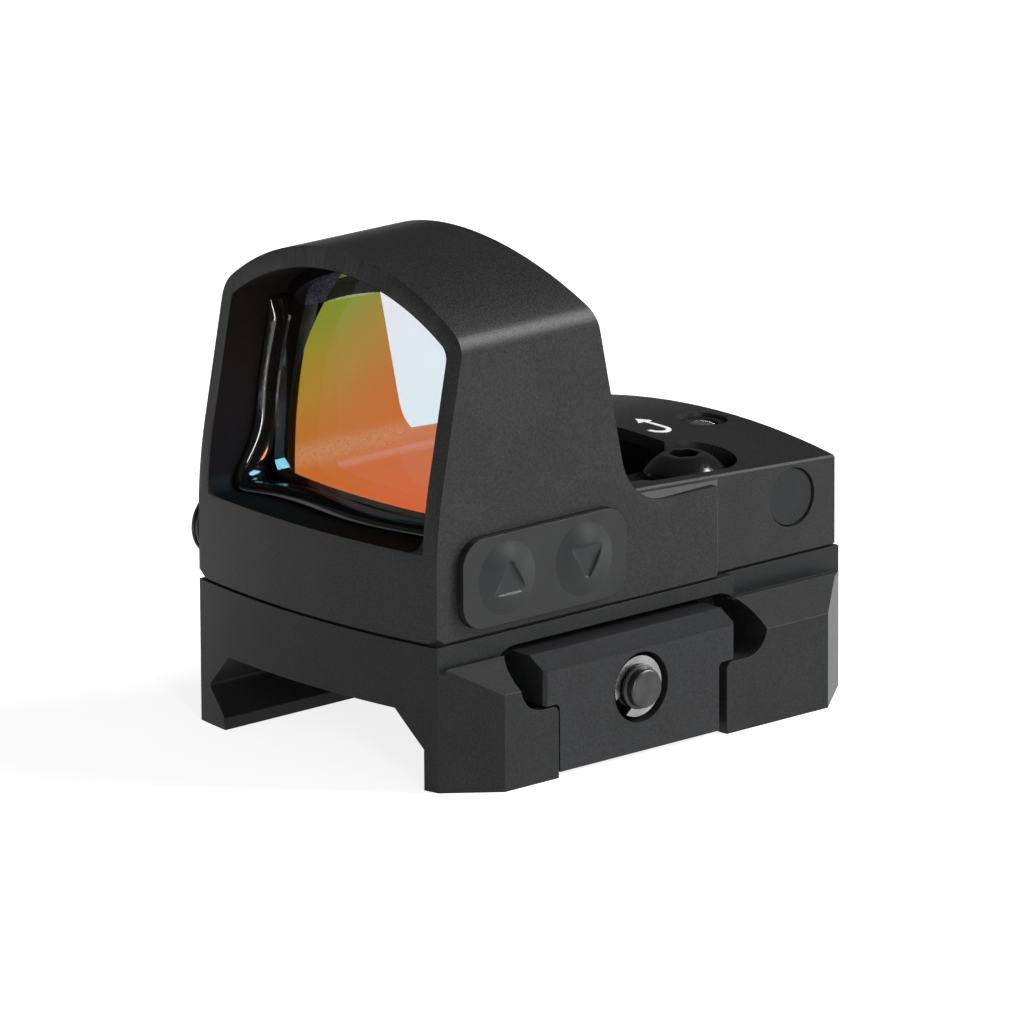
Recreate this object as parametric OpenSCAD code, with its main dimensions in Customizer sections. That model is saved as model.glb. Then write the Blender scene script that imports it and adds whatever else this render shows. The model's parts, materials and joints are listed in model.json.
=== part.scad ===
// Red dot finder: a small open-emitter reflex sight on a clamp-on rail base.
// Every sub-part is a module of its own. All lengths are in millimetres.
// Object frame: X to the keypad side, Y from the front window to the rear deck,
// Z up. The origin lies on the rail seat, the flat roof of the groove, where the
// middle of the first rail land behind the cross bolt meets it.

/* [Rail base] */
// Half of the width of the base and of the housing
body_half_w = 12.05; // [11:0.05:14]
// Length of the base from the crown of the front face to the rear face
base_len = 38.4; // [36:0.1:44]
// Height of the base, up to the joint with the housing
base_h = 9.95; // [9:0.05:12]
// Height of the groove roof, where the top of the rail sits
seat_z = 5.25; // [4.8:0.05:6]
// Full width of the rail over its two side edges
rail_w = 21.2; // [20.8:0.05:21.4]
// Width of the flat top of the rail
rail_top_w = 15.67; // [15.4:0.01:16]
// How far the clamp block stands out of the base on the keypad side
flare_out = 2.8; // [1.5:0.05:4]

/* [Clamp and cross bolt] */
// Position of the cross bolt along the base
bolt_y = 16.85; // [15:0.05:19]
// Height of the cross bolt axis
bolt_z = 4.85; // [4.5:0.01:5.5]
// Radius of the cross bolt where it fills a slot of the rail
bolt_r = 2.45; // [2:0.05:2.55]
// How far the clamp opens
clamp_travel = 2.1; // [1.8:0.05:2.4]

/* [Housing] */
// Radius of the front face seen from above
front_r = 64.8; // [40:0.1:120]
// Backward lean of the front face and the lens, degrees
rake = 11.2; // [6:0.1:16]
// Height of the top of the hood
hood_top = 34.55; // [32:0.05:38]
// Radius of the hood's arch
hood_arch_r = 18.6; // [16:0.1:24]
// Half width of the window opening
win_half_w = 10.85; // [10:0.05:11.2]
// Height of the window sill
win_sill = 16.15; // [15.5:0.05:17]
// Half width of the rear deck
deck_half_w = 11.27; // [10.8:0.01:12]
// Position of the rear face of the housing
rear_y = 38.05; // [37:0.05:42]
// Height of the middle of the deck at its rear edge
deck_top = 17.17; // [16.6:0.01:18]
// Crown radius of the deck
deck_r = 68; // [40:1:120]
// Fall of the deck towards the rear, degrees
deck_fall = 3; // [0:0.1:5]

/* [Optics] */
// Radius of the lens face towards the deck
lens_r = 44; // [36:0.5:60]
// Thickness of the lens
lens_t = 2.2; // [1.5:0.1:3]
// Height of the middle of the lens
lens_z = 24.2; // [22:0.1:26]
// Depth of the middle of the lens behind the crown of the front face
lens_y = 6.73; // [5:0.01:8]

/* [Buttons] */
// Radius of a button cap
button_r = 2.42; // [2:0.01:2.6]
// How far a button goes in
button_travel = 0.35; // [0.2:0.05:0.4]
// How far the keypad stands out of the housing
pad_proud = 0.55; // [0.3:0.05:0.8]
// Height of a button's dome above the keypad
button_rise = 0.62; // [0.4:0.02:0.8]

/* [Adjusters] */
// Radius of a shiny adjuster head
adjuster_r = 1.12; // [0.9:0.01:1.6]
// Radius of the adjuster wells in the housing
well_r = 1.82; // [1.6:0.01:2.2]
// Offset of the elevation screw from the middle
elev_x = 0.9; // [-1:0.1:1]
// Position of the elevation screw along the housing
elev_y = 35.3; // [34.8:0.1:35.6]

/* [Hidden] */

$fn = 96;
eps = 0.01;
land_pitch = 10.01;
mid_y = bolt_y + land_pitch / 2;
gasket_t = 0.2;
house_z = base_h + gasket_t;

// rail flanks: the sloping faces under the rail's side edges
flank = rail_w / 2 - (seat_z - (rail_w - rail_top_w) / 2);
clamp_x = body_half_w + flare_out;
band_z = 8.6;
flare_z = 6.66;
step_y = 27.9;
step_x = 11.3;

// clamp pocket, a slot with round ends in the keypad side
pocket_y0 = 6.05;
pocket_y1 = 28.4;
pocket_z0 = 5;
pocket_z1 = 8.9;
slot_y0 = 9.4;
slot_y1 = 24.67;
jaw_y0 = 8.17;
jaw_y1 = 25.5;
stem_y0 = 9.5;
stem_y1 = 23.95;

// positions of the fasteners
screw_x = 7.4;
screw_y = 27.7;
well_y = 28.4;
seat_screw_z = 15.9;
pins = [[8.8, 2.3], [-8.8, 2.3], [8.2, 24.4], [-8.2, 24.4]];

// keypad
pad_y0 = 2.98;
pad_y1 = 17.6;
pad_z0 = 10.75;
pad_z1 = 16.9;
pad_floor = 11.35;
button_y = [6.86, 13.77];
button_z = 13.85;

// thickness of the painted turn mark on the deck
mark_t = 0.04;

// windage axis
wind_y = 34.06;
wind_z = 14.1;

// coin cell drawer
cell_r = 8;
cell_y = 13.6;
drawer_y0 = 5.4;
drawer_y1 = 21.8;
drawer_z0 = 10.95;
drawer_z1 = 15.1;
knob_y = 4.0;
knob_z = 13.1;
knob_r = 2.36;

// centre of the lens spheres
lens_front_r = lens_r + lens_t;
lens_c = [0, lens_y + lens_front_r * cos(rake), lens_z - lens_front_r * sin(rake)];

// lean of the front face: upright, then a soft bend, then straight
bend_z = 14.5;
bend_r = 33.5;
bend_top = bend_z + bend_r * sin(rake);
function lean(z) = z < bend_z ? 0 :
    z < bend_top ? bend_r - sqrt(bend_r * bend_r - (z - bend_z) * (z - bend_z)) :
    bend_r * (1 - cos(rake)) + (z - bend_top) * tan(rake);

// rear face of the hood, turned about an upright axis behind the object
hood_axis_y = 84;
hood_slope = 0.205;
sill_z = 16.45;
sill_r = 4.1;
hood_ang = atan(hood_slope);
function rear_face(z) = hood_axis_y - 16.36 + hood_slope * (z - 21.3);
sill_cr = rear_face(sill_z + sill_r) - sill_r / cos(hood_ang);

module place() {
    translate([0, -mid_y, -seat_z]) children();
}

// a cylinder along X from x0 to x1
module rod_x(x0, x1, y, z, r, fn = 64) {
    translate([x0, y, z]) rotate([0, 90, 0]) cylinder(r = r, h = x1 - x0, $fn = fn);
}

module rod_z(x, y, z0, z1, r, fn = 64) {
    translate([x, y, z0]) cylinder(r = r, h = z1 - z0, $fn = fn);
}

module block(x0, x1, y0, y1, z0, z1) {
    translate([x0, y0, z0]) cube([x1 - x0, y1 - y0, z1 - z0]);
}

// rectangle with round corners, standing in the YZ plane and running along X
module pad_plate(x0, x1, y0, y1, z0, z1, r) {
    block(x0, x1, y0 + r, y1 - r, z0, z1);
    block(x0, x1, y0, y1, z0 + r, z1 - r);
    for (y = [y0 + r, y1 - r]) for (z = [z0 + r, z1 - r]) rod_x(x0, x1, y, z, r);
}

// points of an arc about (cx, cz), from angle a0 to a1 in n steps
function arc(cx, cz, r, a0, a1, n) =
    [for (i = [0:n]) let (a = a0 + (a1 - a0) * i / n) [cx + r * cos(a), cz + r * sin(a)]];

// flat arch, drawn in XZ: upright sides, crowned top, round corners
module arch(w, zb, zt, ra, rc, rb, n = 24) {
    cz = zt - ra;
    hz = cz + sqrt((ra - rc) * (ra - rc) - (w - rc) * (w - rc));
    t = atan2(hz - cz, w - rc);
    polygon(concat(
        arc(w - rb, zb + rb, rb, -90, 0, 5),
        arc(w - rc, hz, rc, 0, t, 6),
        arc(0, cz, ra, t + (90 - t) / n, 180 - t - (90 - t) / n, 2 * n - 2),
        arc(-w + rc, hz, rc, 180 - t, 180, 6),
        arc(-w + rb, zb + rb, rb, 180, 270, 5)));
}

// arch run along Y from y0 to y1
module arch_bar(y0, y1, w, zb, zt, ra, rc, rb) {
    translate([0, y1, 0]) rotate([90, 0, 0]) linear_extrude(height = y1 - y0)
        arch(w, zb, zt, ra, rc, rb);
}

module lens_ball(r) {
    translate(lens_c) sphere(r = r, $fn = 180);
}

// bar with a cross-section in XZ, run along Y
module bar_y(y0, y1, pts) {
    translate([0, y1, 0]) rotate([90, 0, 0]) linear_extrude(height = y1 - y0) polygon(pts);
}

// ---------------------------------------------------------------- rail base

module base_outline() {
    x = body_half_w;
    union() {
        // band under the housing
        translate([0, 0, band_z - eps]) linear_extrude(height = base_h - band_z + eps)
            polygon([[-x, 0], [x, 0], [x, step_y], [step_x, step_y], [step_x, base_len],
                [-step_x, base_len], [-step_x, step_y], [-x, step_y]]);
        // lower block with its corners cut off on the clamp side
        linear_extrude(height = band_z)
            polygon([[-x, 0], [x, 0], [x, 1.13], [clamp_x, 4.57], [clamp_x, base_len - 4.35],
                [step_x, base_len], [-step_x, base_len], [-x, base_len - 1.4]]);
    }
}

module flare_cut() {
    // sloping top of the clamp block and the small groove under the band
    bar_y(-1, base_len + 1, [[12.36, 8.5], [clamp_x, flare_z], [clamp_x + 2, flare_z - 1.48],
        [clamp_x + 2, 9], [12.36, 9]]);
    block(body_half_w, 12.37, -1, base_len + 1, 8.2, 9);
    block(step_x, 12.37, step_y, base_len + 1, 8.2, band_z);
}

module groove_cut() {
    top = 8.4;
    apex = 10.78;
    apex_z = 2.72;
    bar_y(-1, base_len + 1, [[-flank - 0.85, -1], [-flank - 0.85, 0.85], [-flank - 2.62, 2.62],
        [-apex, apex_z], [-apex, apex_z + 0.15], [-top, seat_z], [top, seat_z],
        [apex + 0.09, apex_z + 0.1], [apex + 0.09, -1]]);
}

module clamp_pocket() {
    rz = (pocket_z1 - pocket_z0) / 2;
    translate([9.6, 0, 0]) {
        block(0, 8, pocket_y0 + rz, pocket_y1 - rz, pocket_z0, pocket_z1);
        rod_x(0, 8, pocket_y0 + rz, pocket_z0 + rz, rz);
        rod_x(0, 8, pocket_y1 - rz, pocket_z0 + rz, rz);
    }
    block(8, clamp_x + 2, slot_y0, slot_y1, -1, pocket_z0 + 0.5);
    // rounded corners between the pocket and the slot
    r = 0.5;
    corner(8, 18, slot_y0 - r, pocket_z0 - r, r, 1, 1);
    corner(8, 18, slot_y1 + r, pocket_z0 - r, r, -1, 1);
}

// what a round corner of radius r about (y, z) leaves of a square one, from x0 to x1;
// sy and sz say which way the corner points
module corner(x0, x1, y, z, r, sy, sz) {
    difference() {
        translate([x0, y, z]) scale([1, sy, sz]) cube([x1 - x0, r + 0.05, r + 0.05]);
        rod_x(x0 - 1, x1 + 1, y, z, r);
    }
}

module rail_base() color("#26282b") place() difference() {
    intersection() {
        base_outline();
        translate([0, front_r, -1]) cylinder(r = front_r, h = 20, $fn = 360);
    }
    flare_cut();
    groove_cut();
    clamp_pocket();
    rod_x(-body_half_w - 1, 10, bolt_y, bolt_z, bolt_r + 0.06);
    rod_x(-body_half_w - 1, -body_half_w + 0.3, bolt_y, bolt_z, 4.4);
    for (s = [-1, 1]) rod_z(s * screw_x, screw_y, seat_screw_z - 10.2, base_h + 1, 1.52);
    for (p = pins) rod_z(p[0], p[1], base_h - 1.8, base_h + 1, 0.82, 32);
}

// ------------------------------------------------------- clamp and cross bolt

module clamp_jaw() color("#2b2d30") place() difference() {
    union() {
        // head of the tee, sloped like the block beside it
        bar_y(jaw_y0, jaw_y1, [[10.2, 5.15], [10.2, 8.4], [13.35, 8.4], [clamp_x, 7.5],
            [clamp_x, 5.15]]);
        // stem and the toe that reaches under the rail
        bar_y(stem_y0, stem_y1, [[11.1, 5.2], [11.1, 2.75], [flank + 2.62, 2.6],
            [flank + 0.9, 0.88], [flank + 0.9, 0.4], [clamp_x, 0.4], [clamp_x, 5.2]]);
        // webs in the inner corners of the tee
        corner(11.1, clamp_x, stem_y0 - 0.4, 4.75, 0.4, 1, 1);
        corner(11.1, clamp_x, stem_y1 + 0.4, 4.75, 0.4, -1, 1);
    }
    // thread for the bolt, then the well for its end
    rod_x(9, 12.2, bolt_y, bolt_z, 2.04);
    rod_x(11.95, clamp_x + 1, bolt_y, bolt_z, 2.43);
    // room for the rail's upper edge and for the thicker part of the bolt
    rod_x(9, 10.35, bolt_y, bolt_z, bolt_r + 0.1);
    // eased corners at both ends of the head
    for (s = [0, 1]) translate([clamp_x, s == 0 ? jaw_y0 : jaw_y1, 0]) rotate([0, 0, 45])
        cube([0.35, 0.35, 40], center = true);
}

module cross_bolt() color("#3a3a3c") place() difference() {
    union() {
        rod_x(-body_half_w - 0.4, 10, bolt_y, bolt_z, bolt_r);
        rod_x(9.9, 12.6, bolt_y, bolt_z, 2.0);
        rod_x(12.5, 14.85, bolt_y, bolt_z, 1.55);
        rod_x(14.8, 15.35, bolt_y, bolt_z, 1.36);
        translate([15.35, bolt_y, bolt_z]) rotate([0, 90, 0])
            cylinder(r1 = 1.36, r2 = 1.22, h = 0.15, $fn = 64);
        // hexagon head
        translate([-body_half_w - 3.5, bolt_y, bolt_z]) rotate([0, 90, 0])
            cylinder(r = 4.5, h = 3.2, $fn = 6);
    }
    // neck for the clip
    difference() {
        rod_x(14.1, 14.6, bolt_y, bolt_z, 2);
        rod_x(14, 14.7, bolt_y, bolt_z, 1.1);
    }
    // coin slot
    translate([-body_half_w - 3.6, bolt_y, bolt_z]) cube([2.6, 10, 1.3], center = true);
}

module bolt_washer() color("#55565a") place() difference() {
    rod_x(-body_half_w - 0.25, -body_half_w + 0.25, bolt_y, bolt_z, 4.3);
    rod_x(-body_half_w - 1, -body_half_w + 1, bolt_y, bolt_z, bolt_r + 0.08);
}

module retaining_clip() color("#c9c9cb") place() difference() {
    rod_x(14.15, 14.55, bolt_y, bolt_z, 2.1);
    rod_x(14, 14.7, bolt_y, bolt_z, 1.12);
    // mouth of the clip and the two reliefs beside its teeth
    translate([14.35, bolt_y, bolt_z]) rotate([-52, 0, 0]) {
        translate([0, 0, -1.6]) cube([1, 1.5, 2], center = true);
        for (s = [-1, 1]) translate([0, s * 1.2, -0.35]) rotate([0, 90, 0])
            cylinder(r = 0.35, h = 1, center = true, $fn = 24);
    }
}

module locating_pins() color("#9a9a9c") place() {
    for (p = pins) rod_z(p[0], p[1], base_h - 1.75, house_z + 0.95, 0.8, 32);
}

module base_gasket() color("#101011") place() difference() {
    i = 0.3;
    intersection() {
        translate([0, 0, base_h]) linear_extrude(height = gasket_t)
            polygon([[-body_half_w + i, 0], [body_half_w - i, 0], [body_half_w - i, 26],
                [deck_half_w - i, 27.4], [deck_half_w - i, rear_y - i],
                [-deck_half_w + i, rear_y - i], [-deck_half_w + i, 27.4],
                [-body_half_w + i, 26]]);
        translate([0, front_r, 0]) cylinder(r = front_r - i, h = 20, $fn = 360);
    }
    for (p = pins) rod_z(p[0], p[1], 9, 11, 0.9, 32);
    for (s = [-1, 1]) rod_z(s * screw_x, screw_y, 9, 11, 1.7);
}

// ------------------------------------------------------------------ housing

module front_solid() {
    z_list = [for (i = [0:10]) bend_z + (bend_top - bend_z) * i / 10];
    translate([0, front_r, 0]) rotate_extrude($fn = 360)
        polygon(concat([[0, house_z], [front_r, house_z]],
            [for (z = z_list) [front_r - lean(z), z]],
            [[front_r - lean(40), 40], [0, 40]]));
}

module hood_rear_cut() {
    fillet = [for (i = [0:12]) let (a = -90 + (90 - hood_ang) * i / 12)
        [sill_cr + sill_r * cos(a), sill_z + sill_r + sill_r * sin(a)]];
    translate([0, hood_axis_y, 0]) rotate_extrude($fn = 360)
        polygon(concat([[0, sill_z]], fillet, [[rear_face(40), 40], [0, 40]]));
}

// crowned deck; its top falls towards the rear
module deck_crown() {
    translate([0, rear_y, deck_top - deck_r]) rotate([90 - deck_fall, 0, 0])
        translate([0, 0, -6]) cylinder(r = deck_r, h = 50, $fn = 360);
}

module deck_solid() {
    x = body_half_w;
    d = deck_half_w;
    intersection() {
        union() {
            bar_y(17.5, 26.4, [[-x, house_z], [x, house_z], [x, sill_z], [x - 3, sill_z + 3],
                [-x + 3, sill_z + 3], [-x, sill_z]]);
            translate([0, 0, house_z]) linear_extrude(height = 20)
                polygon([[-x + 0.7, 18], [x - 0.7, 18], [x - 0.7, 26.3], [x, 26.3], [d, 27.2],
                    [d, rear_y], [-d, rear_y], [-d, 27.2], [-x, 26.3], [-x + 0.7, 26.3]]);
        }
        deck_crown();
        // eased side edges of the deck
        translate([0, rear_y, 0]) rotate([-deck_fall, 0, 0]) bar_y(-30, 2,
            [[-x - 1, 0], [x + 1, 0], [x + 1, 15 - x + d], [d, 16], [d, 16.18], [d - 3, 19.18],
            [-d + 3, 19.18], [-d, 16.18], [-d, 16], [-x - 1, 15 - x + d]]);
    }
}

module trough() {
    // open beam path between the hood and the rear block
    block(-4.4, 4.4, 20, 28.7, seat_screw_z, 20);
    block(-4.4, 4.4, 23.6, 28.7, 14.7, 20);
    for (s = [-1, 1]) {
        rod_z(s * screw_x, well_y, seat_screw_z, 20, 3.06);
        rod_z(s * (screw_x + 0.95), 22.7, seat_screw_z, 20, 2.1);
    }
    block(-screw_x - 3.05, screw_x + 3.05, 22.7, well_y, seat_screw_z, 20);
    block(-screw_x - 0.95, screw_x + 0.95, 20.6, 23, seat_screw_z, 20);
}

module window_cut() {
    difference() {
        arch_bar(-1, 14, win_half_w, win_sill, 33.1, 18.3, 1.3, 1.3);
        lens_ball(lens_r);
    }
    arch_bar(3, 20, 8.9, 16.6, 31.8, 18, 1, 1.2);
    intersection() {
        arch_bar(6, 22, 10, seat_screw_z, 32.5, 18, 1.2, 1);
        lens_ball(lens_r - 1.6);
    }
}

module housing_cavities() {
    // rebate and main bay, open below, closed by the bottom cover
    block(-10.2, 10.4, 3.9, 37.1, house_z - 1, house_z + 0.4);
    difference() {
        block(-9, 9, 22.2, 36.9, house_z, 11.6);
        for (s = [-1, 1]) rod_z(s * screw_x, screw_y, house_z, 12, 2.7);
        for (i = [2, 3]) rod_z(pins[i][0], pins[i][1], house_z, 12, 1.6, 32);
    }
    block(-4.2, 4.2, 22.2, 29.6, house_z, 13.9);
    // emitter bay and the wider bay of the adjusters
    block(-4.2, 4.2, 29.5, 33.2, house_z, 17);
    block(-9, 9, 31.3, 36.9, house_z, 15.3);
    // hole for the beam
    block(-3, 3, 28, 30, 15, 16.9);
    // bay of the switch board, and the holes of the button stems
    block(9.1, 10.1, 4.6, 23.2, house_z, 15.6);
    for (y = button_y) rod_x(10, 12, y, button_z, 1.6);
    pad_plate(pad_floor, 14, pad_y0 - 0.05, pad_y1 + 0.05, pad_z0 - 0.05, pad_z1 + 0.05, 1.85);
    // drawer slot with the recess of its flange
    block(-13, 8.4, drawer_y0, drawer_y1, drawer_z0, drawer_z1);
    block(-13, -10.55, 2.6, 22.3, 10.85, 15.4);
    rod_x(-11, -7.4, knob_y, knob_z, 0.84, 32);
    // fasteners
    for (s = [-1, 1]) rod_z(s * screw_x, screw_y, 9, 17, 1.65);
    for (p = pins) rod_z(p[0], p[1], 9, house_z + 1, 0.85, 32);
    // adjuster wells
    rod_z(elev_x, elev_y, 15.7, 19, well_r);
    rod_z(elev_x, elev_y, 14, 16, 0.86, 32);
    rod_x(-13, -9.9, wind_y, wind_z, 2.05);
    rod_x(-10, -8, wind_y, wind_z, 0.86, 32);
    rod_x(10.35, 13, wind_y, wind_z, 2.07);
}

module housing() color("#2b2b2c") place() difference() {
    union() {
        difference() {
            intersection() {
                arch_bar(-1, 26.4, body_half_w, house_z, hood_top, hood_arch_r, 2, 0.05);
                front_solid();
            }
            hood_rear_cut();
        }
        deck_solid();
    }
    trough();
    window_cut();
    housing_cavities();
    // cut foot of both front corners
    for (s = [-1, 1]) translate([s * body_half_w, 1.13, house_z]) rotate([0, 0, 45 * s])
        rotate([45, 0, 0]) cube([3, 0.68, 0.68], center = true);
}

module bottom_cover() color("#1a1a1b") place() difference() {
    block(-10.1, 10.3, 4.0, 37.0, house_z, house_z + 0.35);
    for (s = [-1, 1]) rod_z(s * screw_x, screw_y, 9, 11, 2.0);
    for (i = [2, 3]) rod_z(pins[i][0], pins[i][1], 9, 12, 1.1, 32);
}

module mount_screws() color("#1c1c1e") place() {
    head_r = 2.85;
    head_h = 1.7;
    ball_r = 3.5;
    for (s = [-1, 1]) translate([s * screw_x, screw_y, seat_screw_z]) difference() {
        union() {
            // button head: part of a ball with a flat top on a low cylinder
            intersection() {
                translate([0, 0, -1.5]) sphere(r = ball_r, $fn = 128);
                cylinder(r = head_r, h = head_h, $fn = 96);
            }
            translate([0, 0, -10]) cylinder(r = 1.5, h = 10.1, $fn = 64);
        }
        translate([0, 0, 0.7]) cylinder(r = 1.1, h = 2, $fn = 6);
    }
}

// ------------------------------------------------------------------- optics

module lens() color([0.9, 0.45, 0.25, 0.6]) place() difference() {
    intersection() {
        arch_bar(2, 14, 10.45, 16.4, 32.8, 18.1, 1.2, 1.2);
        lens_ball(lens_front_r);
    }
    lens_ball(lens_r);
}

module lens_seal() color("#0b0b0c") place() difference() {
    intersection() {
        arch_bar(1, 14, win_half_w, win_sill, 33.1, 18.3, 1.3, 1.3);
        lens_ball(lens_front_r + 1.0);
    }
    lens_ball(lens_r);
    arch_bar(1, 14, 9.75, 16.95, 32.1, 18, 1.1, 1.2);
    // the glass itself
    intersection() {
        arch_bar(0, 15, 10.45, 16.4, 32.8, 18.1, 1.2, 1.2);
        lens_ball(lens_front_r);
    }
}

// ------------------------------------------------------------------ keypad

module keypad() color("#2e3234") place() difference() {
    pad_plate(pad_floor, body_half_w + pad_proud, pad_y0, pad_y1, pad_z0, pad_z1, 1.8);
    for (y = button_y) rod_x(11, 14, y, button_z, button_r + 0.12);
}

// triangle with round corners; dir is 1 for up and -1 for down
module round_triangle(dir) {
    r = 0.26;
    slope = atan2(1.74, 1.06);
    pts = concat(arc(1.06, -0.79, r, -90, 90 - slope, 5), arc(0, 0.95, r, 90 - slope, 90 + slope, 5),
        arc(-1.06, -0.79, r, 90 + slope, 270, 5));
    polygon([for (p = pts) [p[0], dir * p[1]]]);
}

// domed cap with a sunk triangle
module button_body(y, dir) {
    top = body_half_w + pad_proud + button_rise;
    dome_r = (button_r * button_r + button_rise * button_rise) / (2 * button_rise);
    translate([0, y, button_z]) rotate([90, 0, 90]) difference() {
        union() {
            intersection() {
                translate([0, 0, top - dome_r]) sphere(r = dome_r, $fn = 128);
                rod_z(0, 0, 11.75, 14, button_r);
            }
            rod_z(0, 0, 10.45, 11.8, 1.4);
        }
        translate([0, 0, top - 0.3]) linear_extrude(height = 1) round_triangle(dir);
    }
}

module up_button() color("#303436") place() button_body(button_y[0], 1);

module down_button() color("#303436") place() button_body(button_y[1], -1);

module switch_domes() color("#b8b2a0") place() {
    for (y = button_y) translate([9.7, y, button_z]) rotate([90, 0, 90]) intersection() {
        translate([0, 0, 0.35 - 5]) sphere(r = 5, $fn = 96);
        cylinder(r = 1.55, h = 1);
    }
}

module switch_board() color("#1e5a34") place() {
    block(9.2, 9.7, 5, 21.6, 10.7, 15.3);
}

module main_board() color("#1e5a34") place() difference() {
    union() {
        block(-8.8, 8.8, 22.5, 36.6, 10.75, 11.2);
        // controller, driver and a row of small parts
        block(-2, 2, 23.2, 27.2, 11.15, 12.1);
        for (x = [-7, 5.2]) block(x, x + 1.6, 33.2, 35.2, 11.15, 11.5);
        for (x = [-3.6, 2.8]) block(x, x + 0.8, 23.6, 25.2, 11.15, 11.7);
    }
    for (s = [-1, 1]) rod_z(s * screw_x, screw_y, 10, 12, 2.9);
    for (i = [2, 3]) rod_z(pins[i][0], pins[i][1], 10, 12, 1.8, 32);
}

// ------------------------------------------------------------------ battery

module coin_cell() color("#c4c4c2") place() {
    rod_z(0, cell_y, 11.5, 14.4, cell_r);
    rod_z(0, cell_y, 14.39, 14.7, cell_r - 1.2);
}

module battery_tray() color("#1d1d1f") place() difference() {
    union() {
        block(-body_half_w, -10.65, 2.7, 22.2, 10.95, 15.3);
        block(-10.7, 8.3, drawer_y0 + 0.1, drawer_y1 - 0.1, 11.05, 13.2);
    }
    rod_z(0, cell_y, 11.45, 16, cell_r + 0.08);
    rod_z(0, cell_y, 10, 16, 4.5);
    rod_x(-13, -10, knob_y, knob_z, 0.9, 32);
}

module tray_gasket() color("#0e0e0f") place() difference() {
    block(-10.65, -10.4, drawer_y0 + 0.05, drawer_y1 - 0.05, 13.2, 15.05);
    block(-11, -10, drawer_y0 + 0.8, drawer_y1 - 0.8, 13, 14.4);
}

module tray_screw() color("#3a3b3d") place() difference() {
    union() {
        // round head with two turned grooves
        rod_x(-13.6, -12.1, knob_y, knob_z, knob_r - 0.16);
        rod_x(-13.48, -13.2, knob_y, knob_z, knob_r);
        rod_x(-13.0, -12.75, knob_y, knob_z, knob_r);
        rod_x(-12.55, -12.2, knob_y, knob_z, knob_r);
        rod_x(-12.15, -7.7, knob_y, knob_z, 0.8, 32);
    }
    // coin slot
    translate([-13.6, knob_y, knob_z]) cube([1.2, 0.7, 3.2], center = true);
}

module battery_contact() color("#c8a24a") place() {
    block(-1.5, 1.5, 9, 20, 14.88, 15.06);
}

// ---------------------------------------------------------------- adjusters

module elevation_screw() color("#b9b7b0") place() difference() {
    union() {
        rod_z(elev_x, elev_y, 15.74, 16.3, well_r - 0.06);
        intersection() {
            rod_z(elev_x, elev_y, 16.2, 17.3, adjuster_r);
            translate([elev_x, elev_y, 15.46]) sphere(r = 1.8, $fn = 96);
        }
        rod_z(elev_x, elev_y, 11.7, 15.8, 0.8, 32);
    }
    translate([elev_x, elev_y, 17.26]) rotate([0, 0, -42]) cube([0.34, 2.3, 0.8], center = true);
}

module windage_screw() color("#b9b7b0") place() difference() {
    union() {
        rod_x(-10.5, -9.94, wind_y, wind_z, 1.97);
        rod_x(-11.1, -10.4, wind_y, wind_z, adjuster_r);
        rod_x(-9.99, -2.6, wind_y, wind_z, 0.8, 32);
    }
    translate([-11.1, wind_y, wind_z]) rotate([20, 0, 0]) cube([0.9, 2.3, 0.34], center = true);
}

module adjuster_seals() color("#0f0f10") place() {
    difference() {
        rod_z(elev_x, elev_y, 16.35, 17.08, well_r - 0.03);
        rod_z(elev_x, elev_y, 16, 18, adjuster_r + 0.06);
    }
    difference() {
        rod_x(-10.9, -10.55, wind_y, wind_z, 2.0);
        rod_x(-11, -10, wind_y, wind_z, adjuster_r + 0.06);
    }
}

module windage_slide() color("#8d8f92") place() difference() {
    union() {
        block(-3.3, 3.3, 32.2, 32.95, 14.9, 15.9);
        block(-7.6, 3.6, 32.2, 32.95, 11.65, 15);
        block(-7.4, -5.2, 32.9, 35.3, 12.9, 15);
    }
    rod_x(-8, -5, wind_y, wind_z, 0.84, 32);
    block(-1.4, 3.2, 32, 33.2, 11.85, 14.4);
}

module emitter_carriage() color("#77797c") place() difference() {
    union() {
        block(-2.4, 2.4, 30.4, 31.9, 12.5, 16.35);
        block(-1.1, 2.9, 31.8, 36.3, 12.5, 13.3);
    }
    // slot around the elevation screw
    block(elev_x - 0.65, elev_x + 0.65, elev_y - 0.86, elev_y + 0.86, 12, 14);
    for (s = [-1, 1]) rod_z(elev_x + s * 0.65, elev_y, 12, 14, 0.86, 32);
}

module led_emitter() color("#e8e2d0") place() {
    block(-0.9, 0.9, 30.05, 30.4, 15.0, 16.2);
    translate([0, 30.1, 15.6]) rotate([90, 0, 0]) cylinder(r = 0.35, h = 0.2, $fn = 32);
}

module emitter_window() color([0.7, 0.75, 0.8, 0.5]) place() {
    block(-2.95, 2.95, 28.95, 29.4, 15.05, 16.85);
}

module bore_plug() color("#34373a") place() {
    rod_x(10.37, deck_half_w - 0.14, wind_y, wind_z, 2.05);
}

// painted turn arrow beside the elevation screw
module direction_mark() color("#f2f2f0") place() intersection() {
    union() {
        block(-0.6, 1.6, 31.2, 31.55, 16, 18);
        difference() {
            rod_z(1.6, 30.6, 16, 18, 0.95, 48);
            rod_z(1.6, 30.6, 15, 19, 0.6, 48);
            block(-1, 1.6, 29, 32, 15, 19);
        }
        translate([0, 0, 16]) linear_extrude(height = 2)
            polygon([[-1.5, 31.37], [-0.5, 30.75], [-0.5, 32.0]]);
    }
    translate([0, 0, mark_t]) deck_crown();
    difference() {
        block(-5, 5, 28, 34, 16, 19);
        deck_crown();
    }
}

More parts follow.
